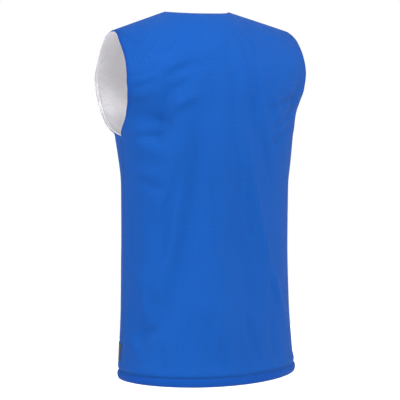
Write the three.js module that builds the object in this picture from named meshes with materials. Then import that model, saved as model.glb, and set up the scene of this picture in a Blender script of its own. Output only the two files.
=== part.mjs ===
import * as THREE from "three";

// A reversible basketball jersey, filled out and hollow. Sizes are in millimetres.
// Z is up, the front faces -Y and +X is the wearer's left.
// The origin lies on top of the shoulders, level with the two neck points.

// Two layers of mesh cloth, the gap between them, and the half gap left at each seam.
const cloth = { outer: 1.2, inner: 1.0, gap: 0.3, halfSeam: 0.15 };

const neck = { halfWidth: 71.5, centreX: 10, backDrop: 4, backReach: 58, frontDrop: 92 };
const shoulder = { halfWidth: 195, drop: 38.5 };
const hem = { z: -744.5, sag: 4.5, sagReach: 200, band: 15 };
const underarmZ = -250;

// Where the panels reach at the middle of the chest and back, and how they round over
// into the shoulder seam: the height of the rounding at the middle and at the tip. The
// edge depth counts up to fullestRatio of the middle's, and the top line runs pastTip.
const backForm = {
  side: 1, middleY: 157, heightMiddle: 150, heightTip: 86,
  powerMiddle: 1.8, powerTip: 2, squareness: 2,
};
const frontForm = {
  side: -1, middleY: -110, heightMiddle: 200, heightTip: 100,
  powerMiddle: 1.5, powerTip: 2, squareness: 2.5,
};
const chestRise = 120;
const fullestRatio = 0.98;
const pastTip = 1.05;
const underarmBlend = { reach: 48, step: 10, weights: [1, 2, 3, 2, 1] };
const squareRise = { from: -340, height: 90 };

// Sections of the body from the hem to the underarm, with the reach behind and before
// the side seam.
const sections = [
  { z: hem.z, halfWidth: 193, seamY: 36, back: 131, front: 128 },
  { z: -690, halfWidth: 189, seamY: 31, back: 129, front: 126 },
  { z: -603, halfWidth: 183.5, seamY: 27.5, back: 127, front: 125 },
  { z: -473, halfWidth: 181, seamY: 24.5, back: 127.5, front: 124 },
  { z: -361, halfWidth: 181, seamY: 25.5, back: 129.5, front: 124 },
  { z: -300, halfWidth: 185, seamY: 29, back: 132.5, front: 125 },
  { z: underarmZ, halfWidth: 189, seamY: 30.5, back: 134, front: 126 },
];

// The armhole's edge from the underarm to the shoulder tip.
const armhole = [
  { z: underarmZ, x: 189, back: 30.5, front: 30.5 },
  { z: -238, x: 192, back: 37, front: -26 },
  { z: -216, x: 192, back: 53.5, front: -60 },
  { z: -188, x: 194.5, back: 71, front: -84 },
  { z: -157, x: 198.5, back: 86, front: -91 },
  { z: -127, x: 201, back: 88.5, front: -85 },
  { z: -86, x: 200.5, back: 84, front: -72.5 },
  { z: -62, x: 200.5, back: 78, front: -66.5 },
  { z: -shoulder.drop, x: shoulder.halfWidth, back: 76, front: -56 },
];

// Folds that run from one point of a panel to another. A positive depth sinks inward,
// a negative one stands out, and bow bends the line sideways at its middle.
const backFolds = [
  { x0: 76, z0: -179, x1: 134, z1: -654, bow: -16, width: 19, depth: 13 },
  { x0: 126, z0: -135, x1: 148, z1: -270, bow: 0, width: 20, depth: 11 },
  { x0: 195, z0: -184, x1: 158, z1: -173, bow: 2, width: 12, depth: 4 },
  { x0: 188, z0: -196, x1: 127, z1: -221, bow: 2, width: 17, depth: 6 },
  { x0: 183, z0: -290, x1: 131, z1: -295, bow: 3, width: 16, depth: 4 },
  { x0: 149, z0: -142, x1: 85, z1: -93, bow: 4, width: 12, depth: 3 },
  { x0: 142, z0: -574, x1: 168, z1: -653, bow: -3, width: 16, depth: 6.5 },
  { x0: -26, z0: -77, x1: -29, z1: -175, bow: 0, width: 13, depth: -4 },
  { x0: -37, z0: -164, x1: -56, z1: -287, bow: 0, width: 15, depth: 5.5 },
  { x0: -92, z0: -157, x1: -123, z1: -243, bow: 0, width: 12, depth: -4 },
  { x0: -35, z0: -287, x1: -139, z1: -629, bow: 8, width: 11, depth: -7.5 },
  { x0: -8, z0: -435, x1: -61, z1: -621, bow: 0, width: 30, depth: 7.5 },
  { x0: 44, z0: -567, x1: 4, z1: -685, bow: 0, width: 26, depth: -4 },
  { x0: -180, z0: -147, x1: -148, z1: -208, bow: 0, width: 11, depth: 5.5 },
];

const frontFolds = [
  { x0: 186, z0: -140, x1: 176, z1: -262, bow: -6, width: 16, depth: -1.5 },
  { x0: -180, z0: -168, x1: -172, z1: -268, bow: 5, width: 14, depth: 4 },
  { x0: 62, z0: -180, x1: 34, z1: -352, bow: 6, width: 26, depth: 4.5 },
  { x0: -88, z0: -196, x1: -58, z1: -398, bow: -8, width: 24, depth: 4 },
  { x0: 118, z0: -296, x1: 142, z1: -486, bow: 5, width: 26, depth: 4 },
  { x0: -24, z0: -372, x1: -64, z1: -574, bow: 4, width: 34, depth: 4.5 },
  { x0: 70, z0: -430, x1: 112, z1: -648, bow: -7, width: 26, depth: -3.5 },
  { x0: -132, z0: -448, x1: -108, z1: -652, bow: 3, width: 22, depth: 3.5 },
];

// A fold runs a little past its two points and fades over a share of its length. All die
// out beside the side seam, up to a level above the underarm. They push the cloth
// straight in or out from an upright line inside the body.
const foldEnds = { past: 0.2, fade: 0.5 };
const seamFade = { beside: 0.16, level: 1.3, over: 0.3 };
const foldPush = { centreY: 28, stretchY: 2.1 };

// How the cloth stands out or sinks above the hem's edge.
const hemProfile = [
  { up: 0, out: 1.4 },
  { up: 7, out: 2.2 },
  { up: 13, out: 1.2 },
  { up: hem.band + 1, out: -1 },
  { up: 23, out: 1 },
  { up: 36, out: 0 },
];
const lipHeight = hemProfile[hemProfile.length - 1].up;

// The care label sewn beside the left side seam, blank: its top and foot, how far its
// near edge lies from the seam at each, and its width.
const label = {
  topZ: -673, footZ: -711, seamTop: 6, seamFoot: 13,
  width: 34, thick: 1, lift: 0.45, cells: 4,
};

// The net of each panel: cells across it, those along the neck, and rows up it. The
// neck's cells crowd towards the two neck points.
const columns = 26;
const neckColumns = { back: 10, front: 12 };
const neckCrowding = 1.5;
const bodyRows = 14;
const topRows = 14;
const normalStep = 0.004;
const hair = 1e-6;

function clamp(value, low = 0, high = 1) {
  return Math.min(Math.max(value, low), high);
}

function mix(from, to, share) {
  return from + (to - from) * share;
}

function ease(value) {
  const share = clamp(value);
  return share * share * (3 - 2 * share);
}

// Slopes for a curve through table rows that never swings past them.
function rowSlopes(rows, key, column) {
  const steps = rows.slice(1).map((row, i) => {
    const before = rows[i];
    return (row[column] - before[column]) / (row[key] - before[key]);
  });
  return rows.map((row, i) => {
    if (i === 0) return steps[0];
    if (i === rows.length - 1) return steps[i - 1];
    const product = steps[i - 1] * steps[i];
    return product > 0 ? (2 * product) / (steps[i - 1] + steps[i]) : 0;
  });
}

// A smooth curve through one column of a table, read at a value of its key column.
function along(rows, key, column, at) {
  const slopes = rowSlopes(rows, key, column);
  let i = 0;
  while (i < rows.length - 2 && at > rows[i + 1][key]) i += 1;
  const low = rows[i];
  const high = rows[i + 1];
  const span = high[key] - low[key];
  const t = clamp((at - low[key]) / span);
  const near = (1 - t) ** 2 * ((1 + 2 * t) * low[column] + t * span * slopes[i]);
  const far = t * t * ((3 - 2 * t) * high[column] + (t - 1) * span * slopes[i + 1]);
  return near + far;
}

// The top line over the shoulders and across the neck: its height, and how far it stands
// back where the cloth goes round the nape.
function topLine(form, x) {
  const fromNeck = Math.abs(x - neck.centreX);
  const across = clamp(fromNeck / neck.halfWidth);
  const nape = form.side > 0 ? 1 - across ** 3 : 0;
  const tip = shoulder.halfWidth - Math.sign(x) * neck.centreX;
  const down = clamp((fromNeck - neck.halfWidth) / (tip - neck.halfWidth), 0, pastTip);
  return { z: -shoulder.drop * down - neck.backDrop * nape, y: neck.backReach * nape };
}

// One half of an oval section through the side edge and the middle, read at x.
function ovalY(x, halfWidth, seamY, middleY, power) {
  const across = clamp(Math.abs(x) / halfWidth);
  return seamY + (middleY - seamY) * (1 - across ** power) ** (1 / power);
}

function reachOf(form, z) {
  const column = form.side > 0 ? "back" : "front";
  return form.side * along(sections, "z", column, z);
}

function powerAt(form, z) {
  return 2 + (form.squareness - 2) * ease((z - squareRise.from) / squareRise.height);
}

function bodyY(form, x, z) {
  const seamY = along(sections, "z", "seamY", z);
  const halfWidth = along(sections, "z", "halfWidth", z);
  return ovalY(x, halfWidth, seamY, seamY + reachOf(form, z), powerAt(form, z));
}

// Above the underarm the section still runs on round the body, cut off at the armhole.
function chestY(form, x, z) {
  const edgeZ = Math.min(z, -shoulder.drop);
  const power = powerAt(form, z);
  const seamY = sections[sections.length - 1].seamY;
  const lowY = seamY + reachOf(form, underarmZ);
  const middleY = mix(lowY, form.middleY, ease((edgeZ - underarmZ) / chestRise));
  const edgeY = along(armhole, "z", form.side > 0 ? "back" : "front", edgeZ);
  const ratio = clamp(Math.abs((edgeY - seamY) / (middleY - seamY)), 0, fullestRatio);
  const halfWidth = along(armhole, "z", "x", edgeZ) / (1 - ratio ** power) ** (1 / power);
  const fullY = ovalY(x, halfWidth, seamY, middleY, power);
  const top = topLine(form, x);
  const outward = clamp(Math.abs(x) / shoulder.halfWidth) ** 2;
  const height = mix(form.heightMiddle, form.heightTip, outward);
  const bend = mix(form.powerMiddle, form.powerTip, outward);
  const below = clamp((top.z - z) / height);
  return top.y + (fullY - top.y) * (1 - (1 - below) ** bend) ** (1 / bend);
}

function formY(form, x, z) {
  return z <= underarmZ ? bodyY(form, x, z) : chestY(form, x, z);
}

// Near the underarm the depth is averaged up and down the cloth, which rounds the change
// from body to chest. At the side edges it stays on the seam.
function panelY(form, x, z, u) {
  const own = formY(form, x, z);
  const nearness = ease(1 - Math.abs(z - underarmZ) / underarmBlend.reach) * (1 - Math.abs(u) ** 3);
  const { weights, step } = underarmBlend;
  const middle = (weights.length - 1) / 2;
  let total = 0;
  let average = 0;
  weights.forEach((weight, i) => {
    total += weight;
    average += weight * formY(form, x, z + (i - middle) * step);
  });
  return mix(own, average / total, nearness);
}

// Depth of one fold where a point of the panel lies beside it.
function foldDepth(fold, x, z) {
  const runX = fold.x1 - fold.x0;
  const runZ = fold.z1 - fold.z0;
  const length = Math.hypot(runX, runZ);
  const t = ((x - fold.x0) * runX + (z - fold.z0) * runZ) / (length * length);
  const aside = ((x - fold.x0) * -runZ + (z - fold.z0) * runX) / length;
  const bowed = aside - fold.bow * 4 * t * (1 - t);
  const start = ease((t + foldEnds.past) / foldEnds.fade);
  const end = ease((1 + foldEnds.past - t) / foldEnds.fade);
  return fold.depth * start * end * Math.exp(-((bowed / fold.width) ** 2));
}

// Folds die out beside the side seam but run on to the armhole's edge.
function foldFade(u, v) {
  const besideSeam = 1 - ease((1 - Math.abs(u)) / seamFade.beside);
  return 1 - besideSeam * ease((seamFade.level - v) / seamFade.over);
}

// Place of a net point in front view. u runs from -1 to 1 across the panel, v from 0 at
// the hem through 1 at the underarm to 2 at the neck and shoulders.
function flatPlace(form, u, v) {
  const angle = (u * Math.PI) / 2;
  if (v <= 1) {
    const z = mix(hem.z, underarmZ, v);
    const fade = clamp(1 - (z - hem.z) / hem.sagReach) ** 2;
    const x = along(sections, "z", "halfWidth", z) * Math.sin(angle);
    return { x, z, sag: hem.sag * fade * Math.cos(angle) ** 2 };
  }
  const rise = Math.sin(((v - 1) * Math.PI) / 2) ** 2;
  const top = topPlace(form, u);
  const lowHalf = sections[sections.length - 1].halfWidth;
  const edgeZ = mix(underarmZ, -shoulder.drop, rise);
  const curveIn = along(armhole, "z", "x", edgeZ) - mix(lowHalf, shoulder.halfWidth, rise);
  const x = mix(lowHalf * Math.sin(angle), top.x, rise) + curveIn * Math.sign(u) * Math.abs(u) ** 3;
  return { x, z: mix(underarmZ, top.z, rise), sag: 0 };
}

function neckShareOf(form) {
  return (form.side > 0 ? neckColumns.back : neckColumns.front) / columns;
}

// The panel's upper edge in front view: the neck curve, then the shoulder seam.
function topPlace(form, u) {
  const share = Math.abs(u);
  const hand = Math.sign(u);
  const neckShare = neckShareOf(form);
  if (share < neckShare) {
    const angle = (Math.PI / 2) * (1 - (1 - share / neckShare) ** neckCrowding);
    const x = neck.centreX + hand * neck.halfWidth * Math.sin(angle);
    const frontZ = -neck.frontDrop * Math.cos(angle);
    return { x, z: form.side > 0 ? topLine(form, x).z : frontZ };
  }
  const out = (share - neckShare) / (1 - neckShare);
  const x = mix(neck.centreX + hand * neck.halfWidth, hand * shoulder.halfWidth, out);
  return { x, z: -shoulder.drop * out };
}

// The outer face of a panel with its folds and its hem.
function panelPoint(form, u, v) {
  const place = flatPlace(form, u, v);
  const y = panelY(form, place.x, place.z, u);
  const folds = form.side > 0 ? backFolds : frontFolds;
  const sunk = folds.reduce((sum, fold) => sum + foldDepth(fold, place.x, place.z), 0);
  const aboveHem = place.z - hem.z;
  const lip = aboveHem < lipHeight ? along(hemProfile, "up", "out", aboveHem) : 0;
  const out = lip - sunk * foldFade(u, v);
  const outward = new THREE.Vector3(place.x, foldPush.stretchY * (y - foldPush.centreY), 0);
  outward.normalize();
  const point = new THREE.Vector3(place.x, y + form.side * cloth.halfSeam, place.z - place.sag);
  return point.addScaledVector(outward, out);
}

function isSeam(form, u, v) {
  const atSide = Math.abs(u) === 1 && v <= 1;
  const atShoulder = v === 2 && Math.abs(u) > neckShareOf(form) - hair;
  return atSide || atShoulder;
}

// Outward normal of a panel. At a seam it has no part across the seam, so that the two
// walls end face to face.
function panelNormal(form, u, v) {
  const onBody = v > 0 && v <= 1;
  const left = panelPoint(form, clamp(u - normalStep, -1, 1), v);
  const right = panelPoint(form, clamp(u + normalStep, -1, 1), v);
  const down = panelPoint(form, u, clamp(v - normalStep, 0, 2));
  const up = panelPoint(form, u, onBody ? v : clamp(v + normalStep, 0, 2));
  const normal = right.sub(left).cross(up.sub(down)).multiplyScalar(-form.side);
  if (isSeam(form, u, v)) normal.y = 0;
  return normal.normalize();
}

// Heights of the net's rows: close over the hem band, even up the body, close again at
// the underarm and over the shoulder.
function rowLevels() {
  const height = underarmZ - hem.z;
  const lipRows = hemProfile.map((row) => row.up / height);
  const last = lipRows[lipRows.length - 1];
  const bodyLevels = Array.from({ length: bodyRows }, (_, i) => mix(last, 1, (i + 1) / bodyRows));
  const topLevels = Array.from({ length: topRows }, (_, i) => 1 + (i + 1) / topRows);
  return [...lipRows, ...bodyLevels, ...topLevels];
}

// A closed wall between two depths under a net of points.
function wallBetween(points, normals, across, near, far) {
  const positions = [];
  for (const depth of [near, far]) {
    points.forEach((point, i) => {
      positions.push(...point.clone().addScaledVector(normals[i], depth).toArray());
    });
  }
  const up = points.length / across;
  const farStart = points.length;
  const faces = [];
  const quad = (a, b, c, d) => faces.push(a, b, c, a, c, d);
  for (let row = 0; row < up - 1; row += 1) {
    for (let col = 0; col < across - 1; col += 1) {
      const corners = [0, 1, 1 + across, across].map((offset) => row * across + col + offset);
      if (col >= (across - 1) / 2) corners.push(corners.shift());
      const [a, b, c, d] = corners;
      quad(a, b, c, d);
      quad(farStart + a, farStart + d, farStart + c, farStart + b);
    }
  }
  const rim = (a, b) => quad(b, a, farStart + a, farStart + b);
  const topStart = (up - 1) * across;
  for (let col = 0; col < across - 1; col += 1) {
    rim(col, col + 1);
    rim(topStart + col + 1, topStart + col);
  }
  for (let row = 0; row < up - 1; row += 1) {
    rim((row + 1) * across, row * across);
    rim(row * across + across - 1, (row + 1) * across + across - 1);
  }
  const geometry = new THREE.BufferGeometry();
  geometry.setAttribute("position", new THREE.Float32BufferAttribute(positions, 3));
  geometry.setIndex(faces);
  return geometry;
}

function flipped(geometry) {
  const order = Array.from(geometry.index.array);
  for (let i = 0; i < order.length; i += 3) [order[i], order[i + 1]] = [order[i + 1], order[i]];
  geometry.setIndex(order);
  return geometry;
}

function named(name, geometry, material) {
  geometry.computeVertexNormals();
  const mesh = new THREE.Mesh(geometry, material);
  mesh.name = name;
  return mesh;
}

function panelWall(form, near, far) {
  const points = [];
  const normals = [];
  for (const v of rowLevels()) {
    for (let col = 0; col <= columns; col += 1) {
      const u = (2 * col) / columns - 1;
      points.push(panelPoint(form, u, v));
      normals.push(panelNormal(form, u, v));
    }
  }
  const wall = wallBetween(points, normals, columns + 1, near, far);
  return form.side > 0 ? flipped(wall) : wall;
}

// The label lies on the front panel's own points, moved out.
function labelWall() {
  const points = [];
  const normals = [];
  for (let row = 0; row <= label.cells; row += 1) {
    const rise = row / label.cells;
    const z = mix(label.footZ, label.topZ, rise);
    const v = (z - hem.z) / (underarmZ - hem.z);
    const fromSeam = mix(label.seamFoot, label.seamTop, rise);
    const quarterDepth = along(sections, "z", "front", z);
    for (let col = 0; col <= label.cells; col += 1) {
      const away = fromSeam + label.width * (1 - col / label.cells);
      const u = 1 - (away / quarterDepth) * (2 / Math.PI);
      points.push(panelPoint(frontForm, u, v));
      normals.push(panelNormal(frontForm, u, v));
    }
  }
  return wallBetween(points, normals, label.cells + 1, label.lift + label.thick, label.lift);
}

const outerCloth = new THREE.MeshStandardMaterial({ color: 0x2463bf, roughness: 0.75 });
outerCloth.name = "outer_mesh_cloth";
const innerCloth = new THREE.MeshStandardMaterial({ color: 0xd2d0d4, roughness: 0.8 });
innerCloth.name = "inner_mesh_cloth";
const labelCloth = new THREE.MeshStandardMaterial({ color: 0x45464a, roughness: 0.9 });
labelCloth.name = "label_cloth";

const innerNear = -(cloth.outer + cloth.gap);
const innerFar = innerNear - cloth.inner;

const group = new THREE.Group();
group.name = "basketball_jersey";
group.add(named("back_outer", panelWall(backForm, 0, -cloth.outer), outerCloth));
group.add(named("front_outer", panelWall(frontForm, 0, -cloth.outer), outerCloth));
group.add(named("back_inner", panelWall(backForm, innerNear, innerFar), innerCloth));
group.add(named("front_inner", panelWall(frontForm, innerNear, innerFar), innerCloth));
group.add(named("hem_label", labelWall(), labelCloth));

export default group;
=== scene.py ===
import bpy
import math
import numpy as np
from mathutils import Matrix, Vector


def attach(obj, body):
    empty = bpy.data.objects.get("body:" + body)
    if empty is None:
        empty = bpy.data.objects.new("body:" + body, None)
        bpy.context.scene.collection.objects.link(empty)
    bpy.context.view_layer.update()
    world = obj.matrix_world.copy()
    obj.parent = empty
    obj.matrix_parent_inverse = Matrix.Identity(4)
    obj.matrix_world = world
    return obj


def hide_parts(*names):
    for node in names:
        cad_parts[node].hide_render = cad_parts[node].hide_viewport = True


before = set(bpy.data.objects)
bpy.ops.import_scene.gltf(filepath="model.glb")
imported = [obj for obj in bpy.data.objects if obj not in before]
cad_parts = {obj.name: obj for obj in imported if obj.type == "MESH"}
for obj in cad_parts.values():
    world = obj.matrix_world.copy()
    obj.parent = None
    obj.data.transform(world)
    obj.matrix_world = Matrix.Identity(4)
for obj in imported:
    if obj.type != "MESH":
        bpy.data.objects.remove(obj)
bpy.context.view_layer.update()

mm = 0.001
hair = 1e-9  # keeps a divisor off nought
print("jersey: frame loaded")


# A short table of rows under named columns, read by its first column
def namedTable(columns, rows):
    return dict(zip(columns, np.array(rows).T))


# The jersey's own sizes in millimetres. Z is up, the front faces -Y, +X is the wearer's left.
jersey = {
    "neckHalf": 71.5,
    "neckCentre": 10.0,
    "neckBackDrop": 4.0,
    "neckBackReach": 58.0,
    "neckFrontDrop": 92.0,
    "shoulderHalf": 195.0,
    "shoulderDrop": 38.5,
    "underarm": -250.0,
    "hem": -744.5,
    "hemSag": 4.5,
    "hemSagReach": 200.0,
    "chestRise": 120.0,
    "layerGap": 0.3,
    "outerCloth": 1.2,
    "innerCloth": 1.0,
    "peekBack": 0.9,    # how far the inner layer shows past the outer one at an armhole
    "peekFront": 1.4,
    "peekHem": 1.7,
    "shortFront": 2.5,  # how far the front's outer layer stops short there
    "endPull": 1.6,     # how many times that far it draws back at the armhole's two ends
}

# Sections of the body, hem to underarm: height, half width, the side seam's y, and how far
# the body reaches behind and before it
bodySections = namedTable(("z", "half", "seam", "behind", "before"), [
    (-744.5, 193.0, 36.0, 131.0, 128.0),
    (-690.0, 189.0, 31.0, 129.0, 126.0),
    (-603.0, 183.5, 27.5, 127.0, 125.0),
    (-473.0, 181.0, 24.5, 127.5, 124.0),
    (-361.0, 181.0, 25.5, 129.5, 124.0),
    (-300.0, 185.0, 29.0, 132.5, 125.0),
    (-250.0, 189.0, 30.5, 134.0, 126.0),
])

# Armhole edge, underarm to shoulder tip: height, x, and y on the back and front panels
armholeEdge = namedTable(("z", "x", "behind", "before"), [
    (-250.0, 189.0, 30.5, 30.5),
    (-238.0, 192.0, 37.0, -26.0),
    (-216.0, 192.0, 53.5, -60.0),
    (-188.0, 194.5, 71.0, -84.0),
    (-157.0, 198.5, 86.0, -91.0),
    (-127.0, 201.0, 88.5, -85.0),
    (-86.0, 200.5, 84.0, -72.5),
    (-62.0, 200.5, 78.0, -66.5),
    (-38.5, 195.0, 76.0, -56.0),
])

backForm = {"side": 1, "reach": "behind", "middle": 157.0, "roundMiddle": 150.0,
            "roundTip": 86.0, "bendMiddle": 1.8, "square": 2.0, "neckShare": 0.385}
frontForm = {"side": -1, "reach": "before", "middle": -110.0, "roundMiddle": 200.0,
             "roundTip": 100.0, "bendMiddle": 1.5, "square": 2.5, "neckShare": 0.4615}

# How the chest rounds over: where it starts to square up, the edge depth's largest share
# of the middle's, how far the top line runs past the tip, and the blend at the underarm
squareRise = {"start": -340.0, "height": 90.0}
fullestRatio = 0.98
pastTip = 1.05
underarmBlend = {"reach": 48.0, "step": 10.0, "weights": (1, 2, 3, 2, 1)}

# Folds: x and z where one starts, where it ends, sideways bow, half width, depth inward.
# A negative depth is a ridge.
backFolds = [
    (76, -179, 134, -654, -16, 19, 13.0),   # long trough off the left shoulder blade
    (126, -135, 148, -270, 0, 20, 11.0),    # dip beside the left armhole
    (195, -184, 158, -173, 2, 12, 4.0),     # short creases in from the left armhole
    (188, -196, 127, -221, 2, 17, 6.0),
    (183, -290, 131, -295, 3, 16, 4.0),
    (149, -142, 85, -93, 4, 12, 3.0),
    (142, -574, 168, -653, -3, 16, 6.5),
    (-26, -77, -29, -175, 0, 13, -4.0),
    (-37, -164, -56, -287, 0, 15, 5.5),
    (-92, -157, -123, -243, 0, 12, -4.0),
    (-35, -287, -139, -629, 8, 11, -7.5),   # ridge down the right side
    (-8, -435, -61, -621, 0, 30, 7.5),
    (44, -567, 4, -685, 0, 26, -4.0),
    (-180, -147, -148, -208, 0, 11, 5.5),
]
frontFolds = [
    (186, -140, 176, -262, -6, 16, -1.5),
    (-180, -168, -172, -268, 5, 14, 4.0),
    (62, -180, 34, -352, 6, 26, 4.5),
    (-88, -196, -58, -398, -8, 24, 4.0),
    (118, -296, 142, -486, 5, 26, 4.0),
    (-24, -372, -64, -574, 4, 34, 4.5),
    (70, -430, 112, -648, -7, 26, -3.5),
    (-132, -448, -108, -652, 3, 22, 3.5),
]

# Finer creases that only the cloth has
backCreases = [
    (196, -152, 158, -139, 2, 4, 3.7),
    (193, -161, 166, -155, 2, 5, 2.4),
    (159, -211, 125, -220, 1, 6, 2.0),
    (127, -187, 67, -160, 2, 10, -4.1),
    (172, -215, 151, -255, -2, 10, 3.1),
    (176, -245, 138, -252, 0, 11, 4.8),
    (105, -285, 125, -401, -2, 9, 5.1),
    (125, -393, 135, -497, 0, 10, 5.1),
    (118, -497, 130, -599, 2, 9, 2.5),
    (169, -314, 141, -302, 3, 10, 2.4),
    (171, -327, 136, -356, 3, 9, 3.4),
    (198, -128, 140, -105, 5, 6, 2.0),
    (136, -223, 104, -167, 3, 9, -4.4),
    (148, -89, 94, -57, 4, 6, 4.1),
    (142, -126, 72, -89, 6, 8, 3.1),
    (130, -159, 72, -109, 7, 9, 3.1),
    (117, -118, 32, -91, 5, 9, 3.7),
    (195, -46, 167, -69, 4, 7, 2.7),
    (-41, -34, -71, -79, 4, 6, 3.7),        # radiating from the right neck point
    (-33, -37, -33, -108, 3, 6, 3.4),
    (-26, -42, 19, -100, 5, 7, 3.1),
    (-49, -31, -124, -64, 4, 6, 3.4),
    (42, -100, 40, -227, 4, 9, 3.4),
    (6, -105, 6, -243, -4, 8, 3.7),
    (-59, -113, -74, -225, 4, 8, -3.7),
    (-64, -229, -92, -344, 4, 9, 4.4),
    (-179, -176, -85, -199, 4, 7, 4.4),
    (-180, -196, -96, -238, 4, 8, 4.1),
    (-154, -232, -86, -282, 4, 8, 3.4),
    (41, -265, 28, -435, 5, 11, 3.7),
    (6, -247, -13, -416, -5, 10, 3.7),
    (-29, -329, -47, -468, 4, 9, 3.4),
    (59, -374, 71, -554, -5, 11, 4.1),
    (122, -366, 138, -505, 5, 9, 4.4),
    (154, -379, 159, -524, -4, 11, 3.7),
    (174, -369, 170, -519, 3, 9, 3.4),
    (138, -490, 158, -584, 4, 9, 4.8),
    (176, -562, 169, -683, 4, 10, 3.4),
    (150, -631, 174, -671, 3, 8, 5.1),
    (86, -564, 108, -702, -5, 11, 3.7),
    (59, -606, 43, -710, 4, 12, 3.4),
    (-31, -606, -66, -712, 4, 11, 3.7),
    (-95, -475, -112, -596, 3, 8, 4.1),
    (-99, -619, -112, -719, 3, 9, 3.7),
    (16, -649, 26, -718, 2, 10, 3.1),
    (142, -666, 134, -724, 2, 9, 3.1),
]
frontCreases = [
    (-200, -110, -150, -96, 4, 7, 1.6),
    (-198, -150, -146, -146, 4, 7, 2.0),
    (-192, -196, -140, -188, 5, 8, 2.0),
    (-184, -236, -134, -238, 4, 8, 1.8),
    (200, -104, 152, -92, 4, 7, 1.6),
    (199, -146, 150, -150, 5, 7, 1.8),
    (192, -190, 148, -206, 4, 8, 1.0),
    (182, -248, 130, -244, 5, 8, 2.0),
    (-66, -30, -92, -96, 4, 7, 1.3),
    (88, -30, 104, -92, -4, 7, 1.3),
    (40, -104, 58, -176, 4, 9, 1.4),
    (-18, -108, -30, -190, 4, 9, 1.4),
    (-176, -262, -128, -320, 4, 9, 1.8),
    (92, -230, 84, -380, 5, 11, 1.6),
    (-40, -240, -28, -380, -5, 12, 1.4),
    (14, -300, 8, -460, 5, 12, 1.5),
    (-104, -330, -118, -470, 5, 11, 1.5),
    (150, -340, 160, -500, 4, 10, 1.5),
    (40, -500, 30, -660, 5, 12, 1.5),
    (-84, -520, -80, -690, -4, 12, 1.4),
    (128, -560, 140, -700, 4, 10, 1.4),
    (-156, -540, -164, -700, 4, 9, 1.4),
    (4, -600, -8, -712, 3, 11, 1.2),
]


def clamp(value, low=0.0, high=1.0):
    return np.minimum(np.maximum(value, low), high)


def ease(value):
    share = clamp(value)
    return share * share * (3 - 2 * share)


def mix(start, end, share):
    return start + (end - start) * share


# Smooth curve through one column of a table
def readTable(table, column, at):
    key = next(iter(table.values()))
    value = table[column]
    steps = np.diff(value) / np.diff(key)
    slopes = np.zeros(len(key))
    product = steps[:-1] * steps[1:]
    total = steps[:-1] + steps[1:]
    slopes[1:-1] = np.where(product > 0, 2 * product / np.where(total == 0, 1, total), 0)
    slopes[0] = steps[0]
    slopes[-1] = steps[-1]
    i = np.clip(np.searchsorted(key, at) - 1, 0, len(key) - 2)
    span = key[i + 1] - key[i]
    t = clamp((at - key[i]) / span)
    near = (1 + 2 * t) * (1 - t) ** 2 * value[i] + t * (1 - t) ** 2 * span * slopes[i]
    far = t * t * (3 - 2 * t) * value[i + 1] + t * t * (t - 1) * span * slopes[i + 1]
    return near + far


# Top line over shoulders and nape: height, and how far back it stands
def topLine(form, x):
    fromNeck = np.abs(x - jersey["neckCentre"])
    across = clamp(fromNeck / jersey["neckHalf"])
    nape = 1 - across ** 3 if form["side"] > 0 else 0 * across
    tip = jersey["shoulderHalf"] - np.sign(x) * jersey["neckCentre"]
    down = clamp((fromNeck - jersey["neckHalf"]) / (tip - jersey["neckHalf"]), 0, pastTip)
    height = -jersey["shoulderDrop"] * down - jersey["neckBackDrop"] * nape
    return height, jersey["neckBackReach"] * nape


def powerAt(form, z):
    return 2 + (form["square"] - 2) * ease((z - squareRise["start"]) / squareRise["height"])


def bodyDepth(form, x, z):
    seam = readTable(bodySections, "seam", z)
    reach = form["side"] * readTable(bodySections, form["reach"], z)
    across = clamp(np.abs(x) / readTable(bodySections, "half", z))
    power = powerAt(form, z)
    return seam + reach * (1 - across ** power) ** (1 / power)


def chestOval(form, x, z):
    edgeZ = np.minimum(z, -jersey["shoulderDrop"])
    power = powerAt(form, z)
    seam = bodySections["seam"][-1]
    low = seam + form["side"] * bodySections[form["reach"]][-1]
    middle = mix(low, form["middle"], ease((edgeZ - jersey["underarm"]) / jersey["chestRise"]))
    edge = readTable(armholeEdge, form["reach"], edgeZ)
    ratio = clamp(np.abs((edge - seam) / (middle - seam)), 0, fullestRatio)
    half = readTable(armholeEdge, "x", edgeZ) / (1 - ratio ** power) ** (1 / power)
    return seam + (middle - seam) * (1 - clamp(np.abs(x) / half) ** power) ** (1 / power)


def chestDepth(form, x, z):
    full = chestOval(form, x, z)
    topZ, topY = topLine(form, x)
    outward = clamp(np.abs(x) / jersey["shoulderHalf"]) ** 2
    height = mix(form["roundMiddle"], form["roundTip"], outward)
    bend = mix(form["bendMiddle"], 2.0, outward)
    below = clamp((topZ - z) / height)
    return topY + (full - topY) * (1 - (1 - below) ** bend) ** (1 / bend)


def clothDepth(form, x, z):
    return np.where(z <= jersey["underarm"], bodyDepth(form, x, z), chestDepth(form, x, z))


# Near the underarm the depth is averaged up and down, except at the side edges
def panelDepth(form, x, z, u):
    own = clothDepth(form, x, z)
    near = ease(1 - np.abs(z - jersey["underarm"]) / underarmBlend["reach"]) * (1 - np.abs(u) ** 3)
    weights = underarmBlend["weights"]
    average = 0 * own
    for i, weight in enumerate(weights):
        shifted = z + (i - len(weights) // 2) * underarmBlend["step"]
        average = average + weight / sum(weights) * clothDepth(form, x, shifted)
    return mix(own, average, near)


# A fold runs past both its ends and fades out there, in shares of its length
foldEnds = {"past": 0.2, "fade": 0.5}

# Folds push the cloth level, away from a line inside the body, and fade towards a side
# seam over a share of the panel's half, up to a level above the underarm
foldPush = {
    "middleY": 28.0,
    "depthShare": 2.1,
    "seamShare": 0.16,
    "fadeUntil": 1.3,
    "fadeOver": 0.3,
}


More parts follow.
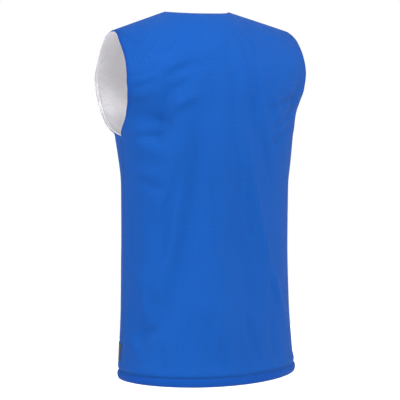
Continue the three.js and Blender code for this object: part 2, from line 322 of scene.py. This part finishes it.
def foldSum(folds, x, z):
    total = 0 * x
    for x0, z0, x1, z1, bow, width, depth in folds:
        length = math.hypot(x1 - x0, z1 - z0)
        along = ((x - x0) * (x1 - x0) + (z - z0) * (z1 - z0)) / length ** 2
        aside = ((x - x0) * (z0 - z1) + (z - z0) * (x1 - x0)) / length
        bowed = aside - bow * 4 * along * (1 - along)  # the whole bow at the middle
        atStart = ease((along + foldEnds["past"]) / foldEnds["fade"])
        atEnd = ease((1 + foldEnds["past"] - along) / foldEnds["fade"])
        total = total + depth * atStart * atEnd * np.exp(-(bowed / width) ** 2)
    return total


# The level way out of the body at each point, and how deep the folds press in there
def pressFolds(folds, creases, x, y, z, u, v):
    out = np.stack([x, foldPush["depthShare"] * (y - foldPush["middleY"]), 0 * z], axis=2)
    out /= np.linalg.norm(out, axis=2, keepdims=True)
    besideSeam = 1 - ease((1 - np.abs(u)) / foldPush["seamShare"])
    seamFade = 1 - besideSeam * ease((foldPush["fadeUntil"] - v) / foldPush["fadeOver"])
    return out, (foldSum(folds, x, z) + foldSum(creases, x, z)) * seamFade


# The net of each panel: cells across it, rows of the hem's roll, of the body and above
# the underarm, and how the neck's cells crowd towards the two neck points
net = {
    "across": 150,
    "hemRows": 26,
    "bodyRows": 96,
    "topRows": 72,
    "neckCrowding": 1.5,
    "threadSteps": 16,  # steps from the middle to a point, to measure the cloth
}

# The hem's roll: height above the edge, and how far the cloth stands out there
hemLip = namedTable(("up", "out"), [
    (0.0, 0.2),
    (3.0, 1.5),
    (8.0, 2.4),
    (12.5, 1.7),
    (15.5, -2.3),
    (19.0, 0.4),
    (25.0, 1.6),
    (38.0, 0.0),
])

# A turned armhole or neck edge: distance in from it, and how far the cloth stands out there
turnedEdge = namedTable(("inward", "out"), [
    (0.0, -0.5),
    (2.5, 0.2),
    (5.0, 0.3),
    (7.5, -0.8),
    (11.0, 0.2),
    (16.0, 0.0),
])
lipHeight = hemLip["up"][-1]
turnedReach = turnedEdge["inward"][-1]

# The seams: a ridge at the sides and a dip on the shoulders, with their half widths.
# Levels run from 0 at the hem past 1 at the underarm to 2 on top.
seamForm = {"ridge": 0.3, "dip": 0.9, "width": 2.2, "shoulderFrom": 1.5, "shoulderOver": 0.2}
edgeZones = {
    "neckOver": 0.02,     # share of the panel's half over which the neck's edge ends
    "armholeOver": 0.08,  # levels over which the armhole's edge begins
    "squareFrom": 1.15,   # levels over which edges turn from level to square on the cloth
    "squareOver": 0.3,
    "mostly": 0.5,        # from this share on a point counts as the edge's
    "farAway": 99.0,      # stands for no free edge nearby
}

# Levels at which an armhole's edge starts to run on, and at which its two ends draw back
armholeRun = {
    "from": 1.1,
    "over": 0.1,
    "lowEnd": 1.12,
    "lowOver": 0.06,
    "highEnd": 1.8,
    "highOver": 0.08,
}


def netLevels():
    height = jersey["underarm"] - jersey["hem"]
    lip = np.linspace(0, lipHeight / height, net["hemRows"], endpoint=False)
    body = np.linspace(lipHeight / height, 1, net["bodyRows"], endpoint=False)
    top = np.linspace(1, 2, net["topRows"] + 1)
    return np.concatenate([lip, body, top])


def topPlace(form, u):
    share = np.abs(u)
    hand = np.sign(u)
    neckShare = form["neckShare"]
    inNeck = share < neckShare
    turn = math.pi / 2 * (1 - clamp(1 - share / neckShare) ** net["neckCrowding"])
    neckX = jersey["neckCentre"] + hand * jersey["neckHalf"] * np.sin(turn)
    if form["side"] > 0:
        neckZ = topLine(form, neckX)[0]
    else:
        neckZ = -jersey["neckFrontDrop"] * np.cos(turn)
    out = clamp((share - neckShare) / (1 - neckShare))
    neckPoint = jersey["neckCentre"] + hand * jersey["neckHalf"]
    x = np.where(inNeck, neckX, mix(neckPoint, hand * jersey["shoulderHalf"], out))
    z = np.where(inNeck, neckZ, -jersey["shoulderDrop"] * out)
    return x, z


# Places of the net in front view, with the hem's sag
def flatPlaces(form, u, v):
    angle = u * math.pi / 2
    bodyZ = mix(jersey["hem"], jersey["underarm"], clamp(v))
    bodyX = readTable(bodySections, "half", bodyZ) * np.sin(angle)
    fade = clamp(1 - (bodyZ - jersey["hem"]) / jersey["hemSagReach"]) ** 2
    rise = np.sin(clamp(v - 1) * math.pi / 2) ** 2
    topX, topZ = topPlace(form, u)
    lowHalf = bodySections["half"][-1]
    edgeZ = mix(jersey["underarm"], -jersey["shoulderDrop"], rise)
    curveIn = readTable(armholeEdge, "x", edgeZ) - mix(lowHalf, jersey["shoulderHalf"], rise)
    upX = mix(lowHalf * np.sin(angle), topX, rise) + curveIn * np.sign(u) * np.abs(u) ** 3
    upZ = mix(jersey["underarm"], topZ, rise)
    low = v <= 1
    sag = np.where(low, jersey["hemSag"] * fade * np.cos(angle) ** 2, 0)
    return np.where(low, bodyX, upX), np.where(low, bodyZ, upZ), sag


def netNormals(points, side):
    acrossStep = np.gradient(points, axis=1)
    upStep = np.gradient(points, axis=0)
    normals = np.cross(acrossStep, upStep) * -side
    return normals / np.maximum(np.linalg.norm(normals, axis=2, keepdims=True), hair)


def lengthsAlong(points, axis):
    steps = np.linalg.norm(np.diff(points, axis=axis), axis=2)
    start = np.zeros_like(np.take(steps, [0], axis=axis))
    return np.cumsum(np.concatenate([start, steps], axis=axis), axis=axis)


# Cloth coordinates in millimetres along the two threads of the mesh
def clothThreads(form, x, z, points):
    across = np.zeros_like(x)
    lastX = np.zeros_like(x)
    lastY = None
    for k in range(net["threadSteps"] + 1):
        atX = x * math.sin(math.pi / 2 * k / net["threadSteps"])
        upper = chestOval(form, atX, z)
        atY = np.where(z <= jersey["underarm"], bodyDepth(form, atX, z), upper)
        if lastY is not None:
            across = across + np.hypot(atX - lastX, atY - lastY)
        lastX = atX
        lastY = atY
    across = across * np.sign(x)
    step = np.linalg.norm(np.diff(points, axis=0), axis=2)
    sideways = np.diff(across, axis=0)
    rise = np.sqrt(np.maximum(step ** 2 - sideways ** 2, 0))
    up = np.concatenate([np.zeros((1, x.shape[1])), np.cumsum(rise, axis=0)])
    return across, up


# How far the cloth stands out at the hem, at turned edges and at the seams
def edgeLift(aboveHem, fromSide, fromTop, v, atNeck, atArmhole):
    inHem = readTable(hemLip, "out", clamp(aboveHem, 0, lipHeight))
    atSide = readTable(turnedEdge, "out", clamp(fromSide, 0, turnedReach))
    atTop = readTable(turnedEdge, "out", clamp(fromTop, 0, turnedReach))
    inArmhole = atArmhole * (fromSide < turnedReach)
    atShoulder = (1 - atNeck) * ease((v - seamForm["shoulderFrom"]) / seamForm["shoulderOver"])
    lift = np.where(aboveHem < lipHeight, inHem, 0)
    lift = lift + atArmhole * atSide
    lift = lift + atNeck * atTop * (1 - inArmhole)
    lift = lift + seamForm["ridge"] * np.exp(-(fromSide / seamForm["width"]) ** 2) * (1 - atArmhole)
    return lift - seamForm["dip"] * np.exp(-(fromTop / seamForm["width"]) ** 2) * atShoulder


# The whole panel: points, normals, cloth coordinates and distances from its free edges
def makePanel(form, folds, creases):
    across = np.linspace(-1, 1, net["across"] + 1)
    levels = netLevels()
    u, v = np.meshgrid(across, levels)
    x, z, sag = flatPlaces(form, u, v)
    y = panelDepth(form, x, z, u)
    base = np.stack([x, y, z - sag], axis=2)
    normals = netNormals(base, form["side"])
    rowLengths = lengthsAlong(base, 1)
    fromSide = np.minimum(rowLengths, rowLengths[:, -1:] - rowLengths)
    columnLengths = lengthsAlong(base, 0)
    fromTop = columnLengths[-1:] - columnLengths
    atNeck = ease((form["neckShare"] - np.abs(u)) / edgeZones["neckOver"])
    atArmhole = ease((v - 1) / edgeZones["armholeOver"])
    aboveHem = z - jersey["hem"]
    level, sunk = pressFolds(folds, creases, x, y, z, u, v)
    lift = edgeLift(aboveHem, fromSide, fromTop, v, atNeck, atArmhole)

    # At the side seams both panels meet, so nothing moves them forwards or back
    square = ease((v - edgeZones["squareFrom"]) / edgeZones["squareOver"])
    outward = mix(level, normals, square[:, :, None])
    for column in (0, -1):
        outward[:, column, 1] = 0
        level[:, column, 1] = 0
    points = base - level * sunk[:, :, None] + outward * lift[:, :, None]
    faceNormals = netNormals(points, form["side"])
    for column in (0, -1):
        faceNormals[levels <= 1, column, 1] = 0
    faceNormals[-1, np.abs(across) >= form["neckShare"], 1] = 0
    faceNormals /= np.linalg.norm(faceNormals, axis=2, keepdims=True)
    threadAcross, threadUp = clothThreads(form, x, z, base)
    fromArmhole = np.where(atArmhole > edgeZones["mostly"], fromSide, edgeZones["farAway"])
    fromNeck = np.where(atNeck > edgeZones["mostly"], fromTop, edgeZones["farAway"])
    return {"points": points, "normals": faceNormals, "v": v, "z": z, "side": form["side"],
            "across": threadAcross, "up": threadUp,
            "fromFree": np.minimum(fromArmhole, fromNeck), "fromHem": aboveHem}


# Lets a panel's armhole edges run on past the other layer, or stop short of it
def runOn(panel, reach):
    points = panel["points"].copy()
    level = panel["v"][:, 0]
    run = armholeRun
    free = ease((level - run["from"]) / run["over"]) * ease((2 - level) / run["highOver"])
    if reach > 0:
        atHigh = ease((level - run["highEnd"]) / run["highOver"])
        nearEnds = ease((run["lowEnd"] - level) / run["lowOver"]) + atHigh
        free = free * (1 - atHigh) - jersey["endPull"] * nearEnds * (level > 1)
        points[0, :, 2] -= jersey["peekHem"]
    for edge, inside in ((0, 1), (-1, -2)):
        along = points[:, edge] - points[:, inside]
        along /= np.linalg.norm(along, axis=1, keepdims=True)
        points[:, edge] += along * free[:, None] * reach
    return points


def placeMesh(name, mesh, material):
    mesh.polygons.foreach_set("use_smooth", np.ones(len(mesh.polygons), dtype=bool))
    mesh.materials.append(material)
    mesh.validate()
    mesh.update()
    piece = bpy.data.objects.new(name, mesh)
    bpy.context.scene.collection.objects.link(piece)
    return piece


# A thin closed shell under a net of points, joined round its rim
def makeShell(name, panel, near, far, material, reach=0.0):
    points = runOn(panel, reach) if reach else panel["points"]
    rows, columns = points.shape[:2]
    outer = points + panel["normals"] * near
    inner = points + panel["normals"] * far
    verts = np.concatenate([outer.reshape(-1, 3), inner.reshape(-1, 3)]) * mm
    index = np.arange(rows * columns).reshape(rows, columns)
    quads = np.stack([index[:-1, :-1], index[:-1, 1:], index[1:, 1:], index[1:, :-1]], axis=2)
    quads = quads.reshape(-1, 4)
    rim = np.concatenate([index[0, :], index[1:, -1], index[-1, -2::-1], index[-2:0:-1, 0]])
    rimNext = np.roll(rim, -1)
    count = rows * columns
    rimQuads = np.stack([rim, rim + count, rimNext + count, rimNext], axis=1)
    faces = np.concatenate([quads, quads[:, ::-1] + count, rimQuads])
    if panel["side"] > 0:
        faces = faces[:, ::-1]
    mesh = bpy.data.meshes.new(name)
    mesh.from_pydata(verts.tolist(), [], faces.tolist())
    loops = np.zeros(len(mesh.loops), dtype=np.int32)
    mesh.loops.foreach_get("vertex_index", loops)
    for layer, first, second in (("cloth", "across", "up"), ("edges", "fromFree", "fromHem")):
        places = np.stack([panel[first], panel[second]], axis=2).reshape(-1, 2) * mm
        places = np.concatenate([places, places])
        mesh.uv_layers.new(name=layer).data.foreach_set("uv", places[loops].ravel())
    return placeMesh(name, mesh, material)


# Shader nodes stand in a plain grid, each in the next place
nodeGrid = {"columns": 8, "width": 200, "height": 260}


def addNode(tree, kind, sockets=None, **settings):
    row, column = divmod(len(tree.nodes), nodeGrid["columns"])
    node = tree.nodes.new(kind)
    node.location = (column * nodeGrid["width"], -row * nodeGrid["height"])
    for key, value in settings.items():
        setattr(node, key, value)
    for key, value in (sockets or {}).items():
        node.inputs[key].default_value = value
    return node


def mathNode(tree, operation, first, *others):
    node = addNode(tree, "ShaderNodeMath", operation=operation)
    for slot, value in enumerate((first, *others)):
        if isinstance(value, (int, float)):
            node.inputs[slot].default_value = value
        else:
            tree.links.new(value, node.inputs[slot])
    return node.outputs[0]


def blendColours(tree, share, first, second):
    node = addNode(tree, "ShaderNodeMix", data_type="RGBA")
    tree.links.new(share, node.inputs[0])
    for slot, value in ((6, first), (7, second)):  # the node's two colour sockets
        if isinstance(value, tuple):
            node.inputs[slot].default_value = (*value, 1)
        else:
            tree.links.new(value, node.inputs[slot])
    return node.outputs[2]


# The two coordinates of one of a shell's maps
def mapPlaces(tree, layer):
    place = addNode(tree, "ShaderNodeUVMap", uv_map=layer)
    split = addNode(tree, "ShaderNodeSeparateXYZ")
    tree.links.new(place.outputs[0], split.inputs[0])
    return split.outputs[0], split.outputs[1]


# Turns a length along the cloth into an angle that goes round once in each step
def roundsPer(tree, length, step):
    return mathNode(tree, "MULTIPLY", length, 2 * math.pi / (step * mm))


def newMaterial(name):
    material = bpy.data.materials.new(name)
    material.use_nodes = True
    tree = material.node_tree
    return material, tree, tree.nodes["Principled BSDF"]


# Unevenness of the mesh cloth: noise scales per metre, and how much each thing shows
clothGrain = {
    "cloud": 6.0,
    "cloudDetail": 3.0,
    "fuzz": 900.0,
    "fuzzShare": 0.18,
    "roughSpread": 0.05,
    "sheenRough": 0.45,
    "ribDepth": 0.12,
    "holeDepth": 0.0016,
}


# Eyelet mesh: rows of small holes, every other row set over by half a step
def meshCloth(name, look):
    material, tree, shader = newMaterial(name)
    links = tree.links
    across, up = mapPlaces(tree, "cloth")
    waveX = mathNode(tree, "COSINE", roundsPer(tree, across, look["stepAcross"]))
    waveY = mathNode(tree, "COSINE", roundsPer(tree, up, look["stepUp"]))
    wave = mathNode(tree, "MULTIPLY", waveX, waveY)
    hole = addNode(tree, "ShaderNodeMapRange", {1: look["holeStart"], 2: look["holeFull"]},
                   interpolation_type="SMOOTHSTEP")
    links.new(wave, hole.inputs[0])
    rib = mathNode(tree, "COSINE", roundsPer(tree, across, look["wale"]))

    where = addNode(tree, "ShaderNodeTexCoord")
    cloud = addNode(tree, "ShaderNodeTexNoise",
                    {"Scale": clothGrain["cloud"], "Detail": clothGrain["cloudDetail"]})
    fuzz = addNode(tree, "ShaderNodeTexNoise", {"Scale": clothGrain["fuzz"]})
    for noise in (cloud, fuzz):
        links.new(where.outputs["Object"], noise.inputs["Vector"])
    tone = blendColours(tree, cloud.outputs[0], look["colour"], look["shade"])
    grain = mathNode(tree, "MULTIPLY", fuzz.outputs[0], clothGrain["fuzzShare"])
    worn = blendColours(tree, grain, tone, look["shade"])
    dark = mathNode(tree, "MULTIPLY", hole.outputs[0], look["holeDark"])
    meshTone = blendColours(tree, dark, worn, look["hole"])

    # Doubled edges and the hem band are darkened towards the hole colour: partly the doubled cloth's
    # deeper tone, partly painted shade where these edges turn from the light
    fromFree, fromHem = mapPlaces(tree, "edges")
    turned = mathNode(tree, "LESS_THAN", fromFree, look["turned"] * mm)
    hemmed = mathNode(tree, "LESS_THAN", fromHem, look["hemmed"] * mm)
    doubledShadeBand = mathNode(tree, "MAXIMUM", turned, hemmed)
    doubledShadeShare = mathNode(tree, "MULTIPLY", doubledShadeBand, look["doubledAndPaintedShade"])
    colour = blendColours(tree, doubledShadeShare, meshTone, look["hole"])
    links.new(colour, shader.inputs["Base Color"])
    rough = addNode(tree, "ShaderNodeMapRange", {
        3: look["rough"] - clothGrain["roughSpread"],
        4: look["rough"] + clothGrain["roughSpread"],
    })
    links.new(cloud.outputs[0], rough.inputs[0])
    links.new(rough.outputs[0], shader.inputs["Roughness"])
    shader.inputs["Sheen Weight"].default_value = look["sheen"]
    shader.inputs["Sheen Roughness"].default_value = clothGrain["sheenRough"]
    shader.inputs["Sheen Tint"].default_value = (*look["sheenTint"], 1)
    shader.inputs["Specular IOR Level"].default_value = look["gloss"]

    sunk = mathNode(tree, "MULTIPLY", hole.outputs[0], -1.0)
    ribbed = mathNode(tree, "MULTIPLY", rib, clothGrain["ribDepth"])
    bump = addNode(tree, "ShaderNodeBump",
                   {"Strength": look["relief"], "Distance": clothGrain["holeDepth"]})
    links.new(mathNode(tree, "ADD", sunk, ribbed), bump.inputs["Height"])
    links.new(bump.outputs[0], shader.inputs["Normal"])
    return material


# Sewing thread: twist per metre, its unevenness, and two blues
thread = {
    "twist": 900.0,
    "uneven": 2.0,
    "rough": 0.6,
    "colour": (0.002, 0.038, 0.16),
    "shade": (0.001, 0.028, 0.12),
}


def threadMaterial(name):
    material, tree, shader = newMaterial(name)
    where = addNode(tree, "ShaderNodeTexCoord")
    twist = addNode(tree, "ShaderNodeTexWave",
                    {"Scale": thread["twist"], "Distortion": thread["uneven"]})
    tree.links.new(where.outputs["Object"], twist.inputs["Vector"])
    tone = blendColours(tree, twist.outputs["Fac"], thread["colour"], thread["shade"])
    tree.links.new(tone, shader.inputs["Base Color"])
    shader.inputs["Roughness"].default_value = thread["rough"]
    return material


# The two mesh cloths
blueLook = {
    "colour": (0.0026, 0.0445, 0.19),
    "shade": (0.0024, 0.0405, 0.174),
    "hole": (0.0001, 0.013, 0.126),
    "holeDark": 1.0,
    "holeStart": 0.1,
    "holeFull": 0.7,
    "stepAcross": 4.7,      # mesh repeat in millimetres
    "stepUp": 5.0,
    "wale": 1.18,
    "rough": 0.6,
    "sheen": 0.015,
    "sheenTint": (0.6, 0.62, 1.0),
    "turned": 6.5,          # cloth folded double at the armholes and neck; the band is darkened partly for the doubled cloth and partly as painted shade where the edge turns from the light
    "hemmed": 15.0,         # and at the hem, whose band is darkened partly for the doubled cloth and partly as painted shade
    # painted shade in part: how far those bands darken towards the hole colour
    "doubledAndPaintedShade": 0.26,
    "gloss": 0.03,
    "relief": 1.0,
}
paleLook = {
    "colour": (0.585, 0.576, 0.603),
    "shade": (0.553, 0.544, 0.572),
    "hole": (0.3, 0.295, 0.32),
    "holeDark": 0.4,
    "holeStart": 0.35,
    "holeFull": 0.85,
    "stepAcross": 4.7,
    "stepUp": 5.0,
    "wale": 1.18,
    "rough": 0.65,
    "sheen": 0.2,
    "sheenTint": (1.0, 0.98, 1.0),
    # painted shade: the lining's rim darkens towards the hole colour over its outer 0.3 mm
    "turned": 0.3,
    "hemmed": 0.0,
    "doubledAndPaintedShade": 0.85,
    "gloss": 0.3,
    "relief": 0.8,
}

blueMesh = meshCloth("blueEyeletMesh", blueLook)
paleMesh = meshCloth("paleEyeletMesh", paleLook)
blueThread = threadMaterial("blueSewingThread")

backPanel = makePanel(backForm, backFolds, backCreases)
frontPanel = makePanel(frontForm, frontFolds, frontCreases)
print("jersey: panels worked out")

outerBack = makeShell("outerBackCloth", backPanel, 0.0, -jersey["outerCloth"], blueMesh)
outerFront = makeShell("outerFrontCloth", frontPanel, 0.0, -jersey["outerCloth"], blueMesh,
                       -jersey["shortFront"])
liningNear = -(jersey["outerCloth"] + jersey["layerGap"])
liningFar = liningNear - jersey["innerCloth"]
innerBack = makeShell("innerBackCloth", backPanel, liningNear, liningFar, paleMesh, jersey["peekBack"])
innerFront = makeShell("innerFrontCloth", frontPanel, liningNear, liningFar, paleMesh,
                       jersey["peekFront"])

panelPieces = [
    (outerBack, "back_outer", "outer_mesh_cloth", backPanel),
    (outerFront, "front_outer", "outer_mesh_cloth", frontPanel),
    (innerBack, "back_inner", "inner_mesh_cloth", backPanel),
    (innerFront, "front_inner", "inner_mesh_cloth", frontPanel),
]
for piece, node, slot, panel in panelPieces:
    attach(piece, "root")
    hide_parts(node)


# Sewing: a row of short thread stitches laid on a panel's outer face
stitching = {
    "hemUp": 15.5,
    "stitch": 3.2,
    "pitch": 4.0,
    "thread": 0.28,     # half the thread's thickness
    "lift": 0.15,
    "sides": 6,
    "seamSkip": 2,      # net columns left bare at each side seam
}

# A stitch's taper: share of the way along it, and its thickness there
stitchTaper = ((0, 0.35), (0.18, 1), (0.5, 1.1), (0.82, 1), (1, 0.35))


# Both ends of each stitch along a run, with the cloth's way out between them
def sampleRun(points, normals):
    steps = np.linalg.norm(np.diff(points, axis=0), axis=1)
    length = np.concatenate([[0], np.cumsum(steps)])
    count = int(length[-1] // stitching["pitch"])
    at = (np.arange(count) + 0.5) * length[-1] / count

    def pick(values, where):
        return np.stack([np.interp(where, length, values[:, k]) for k in range(3)], axis=1)

    half = stitching["stitch"] / 2
    return pick(points, at - half), pick(points, at + half), pick(normals, at)


def stitchRow(name, runs, material):
    verts = []
    faces = []
    sides = stitching["sides"]
    lastRing = (len(stitchTaper) - 1) * sides
    for points, normals in runs:
        for start, end, up in zip(*sampleRun(points, normals)):
            along = end - start
            along = along / np.linalg.norm(along)
            up = up / np.linalg.norm(up)
            across = np.cross(along, up)
            first = len(verts)
            for share, spread in stitchTaper:
                raised = up * stitching["lift"] * math.sin(math.pi * share)
                centre = start + (end - start) * share + raised
                for k in range(sides):
                    turn = 2 * math.pi * k / sides
                    ring = across * math.cos(turn) + up * math.sin(turn)
                    verts.append(tuple((centre + ring * stitching["thread"] * spread) * mm))
            for ring in range(0, lastRing, sides):
                for k in range(sides):
                    a = first + ring + k
                    b = first + ring + (k + 1) % sides
                    faces.append((a, b, b + sides, a + sides))
            faces.append(tuple(first + k for k in reversed(range(sides))))
            faces.append(tuple(first + lastRing + k for k in range(sides)))
    mesh = bpy.data.meshes.new(name)
    mesh.from_pydata(verts, [], faces)
    return placeMesh(name, mesh, material)


def hemRun(panel):
    above = panel["z"][:, 0] - jersey["hem"]
    level = int(np.argmin(np.abs(above - stitching["hemUp"])))
    sewn = slice(stitching["seamSkip"], -stitching["seamSkip"])
    return panel["points"][level, sewn], panel["normals"][level, sewn]


hemStitches = stitchRow("hemStitches", [hemRun(backPanel), hemRun(frontPanel)], blueThread)
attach(hemStitches, "root")
print("jersey: hem sewn")


# The blank label beside the left side seam, on the front panel
label = {
    "top": -673.0,
    "foot": -711.0,
    "seamTop": 6.0,        # how far its near edge lies from the seam at the top
    "seamFoot": 13.0,
    "width": 34.0,
    "lift": 0.45,
    "thick": 0.7,
    "inset": 0.15,         # how far it lies in front of the bare form
    "cells": 24,
    "ridge": 0.25,         # sewn border: height, and place and width as shares of the label
    "ridgeAt": 0.06,
    "ridgeWidth": 0.03,
    "threadAcross": 0.7,
    "threadUp": 0.9,
    "colour": (0.02, 0.02, 0.021),
    "shade": (0.034, 0.034, 0.035),
    "rough": 0.85,
    "gloss": 0.12,
    "weaveDepth": 0.0002,
    "weaveShow": 0.4,
}


def labelMaterial():
    material, tree, shader = newMaterial("darkLabelWeave")
    across, up = mapPlaces(tree, "cloth")
    waveX = mathNode(tree, "SINE", roundsPer(tree, across, label["threadAcross"]))
    waveY = mathNode(tree, "SINE", roundsPer(tree, up, label["threadUp"]))
    share = mathNode(tree, "MULTIPLY_ADD", mathNode(tree, "MULTIPLY", waveX, waveY), 0.5, 0.5)
    tone = blendColours(tree, share, label["colour"], label["shade"])
    tree.links.new(tone, shader.inputs["Base Color"])
    shader.inputs["Roughness"].default_value = label["rough"]
    shader.inputs["Specular IOR Level"].default_value = label["gloss"]
    bump = addNode(tree, "ShaderNodeBump",
                   {"Distance": label["weaveDepth"], "Strength": label["weaveShow"]})
    tree.links.new(share, bump.inputs["Height"])
    tree.links.new(bump.outputs[0], shader.inputs["Normal"])
    return material


def makeLabel():
    cells = label["cells"]
    rise = np.linspace(0, 1, cells + 1)
    heights = mix(label["foot"], label["top"], rise)
    reach = readTable(bodySections, frontForm["reach"], heights)
    near = mix(label["seamFoot"], label["seamTop"], rise)
    away = near[:, None] + label["width"] * (1 - rise)
    u = 1 - away / reach[:, None] * 2 / math.pi
    z = np.repeat(heights[:, None], cells + 1, axis=1)
    v = (z - jersey["hem"]) / (jersey["underarm"] - jersey["hem"])
    x, z, sag = flatPlaces(frontForm, u, v)
    y = panelDepth(frontForm, x, z, u)
    level, sunk = pressFolds(frontFolds, frontCreases, x, y, z, u, v)
    base = np.stack([x, y - label["inset"], z - sag], axis=2) - level * sunk[:, :, None]
    normals = netNormals(base, frontForm["side"])
    fromEdge = np.minimum(rise, 1 - rise)
    edge = np.minimum(fromEdge[None, :], fromEdge[:, None])
    lift = label["ridge"] * np.exp(-((edge - label["ridgeAt"]) / label["ridgeWidth"]) ** 2)
    across, up = np.meshgrid(rise * label["width"], rise * (label["top"] - label["foot"]))
    panel = {"points": base + normals * lift[:, :, None], "normals": normals,
             "side": frontForm["side"], "across": across, "up": up,
             "fromFree": z * 0, "fromHem": z * 0}
    near = label["lift"] + label["thick"]
    return makeShell("hemLabelCloth", panel, near, label["lift"], labelMaterial())


hemLabel = makeLabel()
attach(hemLabel, "root")
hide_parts("hem_label")
print("jersey: label sewn on")


# Photo studio
studio = {
    "distance": 3.4,
    "turn": 25.0,          # degrees from straight behind, towards the wearer's left
    "height": -0.068,
    "tilt": 5.385,         # degrees down
    "lens": 147.77,
    "film": 36.0,
    "seen": 50.0,          # how far the camera sees
    "floor": -1.25,
    "floorReach": 3.0,
    "floorTone": (0.93, 0.93, 0.93),
    "floorShade": (0.95, 0.95, 0.95),
    "floorCloud": 0.4,
    "floorRough": 0.9,
    "white": 1.0,
    "aimHeight": -0.35,    # where every lamp points
}

# Lamps: name, degrees round from straight behind, height, reach, size, power
lamps = [
    ("keyPanel", 84, 0.75, 2.6, (1.1, 1.1), 110),
    ("topPanel", 50, 1.8, 1.9, (1.0, 1.0), 70),
    ("fillBehind", 4, 0.7, 3.2, (0.9, 0.9), 66),
    ("fillRight", -28, 1.6, 2.5, (0.8, 0.9), 188),
]


def makeCamera():
    data = bpy.data.cameras.new("studioCamera")
    data.sensor_width = studio["film"]
    data.lens = studio["lens"]
    data.clip_end = studio["seen"]
    camera = bpy.data.objects.new("studioCamera", data)
    turn = math.radians(studio["turn"])
    flat = Vector((math.sin(turn), math.cos(turn), 0))
    camera.location = flat * studio["distance"] + Vector((0, 0, studio["height"]))
    tilt = math.radians(studio["tilt"])
    aim = -flat * math.cos(tilt) + Vector((0, 0, -math.sin(tilt)))
    camera.rotation_euler = aim.to_track_quat("-Z", "Y").to_euler()
    bpy.context.scene.collection.objects.link(camera)
    bpy.context.scene.camera = camera


def softLight(name, turn, height, reach, size, power):
    data = bpy.data.lights.new(name, "AREA")
    data.shape = "RECTANGLE"
    data.size, data.size_y = size
    data.energy = power
    lamp = bpy.data.objects.new(name, data)
    angle = math.radians(turn)
    lamp.location = (math.sin(angle) * reach, math.cos(angle) * reach, height)
    aim = Vector((0, 0, studio["aimHeight"])) - lamp.location
    lamp.rotation_euler = aim.to_track_quat("-Z", "Y").to_euler()
    bpy.context.scene.collection.objects.link(lamp)


def makeFloor():
    mesh = bpy.data.meshes.new("studioFloor")
    reach = studio["floorReach"]
    corners = [(x * reach, y * reach, studio["floor"])
               for x, y in ((-1, -1), (1, -1), (1, 1), (-1, 1))]
    mesh.from_pydata(corners, [], [(0, 1, 2, 3)])
    material, tree, shader = newMaterial("paleStudioFloor")
    cloud = addNode(tree, "ShaderNodeTexNoise", {"Scale": studio["floorCloud"]})
    tone = blendColours(tree, cloud.outputs[0], studio["floorTone"], studio["floorShade"])
    tree.links.new(tone, shader.inputs["Base Color"])
    shader.inputs["Roughness"].default_value = studio["floorRough"]
    mesh.materials.append(material)
    floor = bpy.data.objects.new("studioFloor", mesh)
    bpy.context.scene.collection.objects.link(floor)


def makeWorld():
    world = bpy.data.worlds.new("studioWhite")
    world.use_nodes = True
    background = world.node_tree.nodes["Background"]
    background.inputs["Color"].default_value = (1, 1, 1, 1)
    background.inputs["Strength"].default_value = studio["white"]
    bpy.context.scene.world = world


makeCamera()
makeFloor()
makeWorld()
for lamp in lamps:
    softLight(*lamp)
bpy.context.scene.view_settings.view_transform = "Standard"
print("jersey: studio set")

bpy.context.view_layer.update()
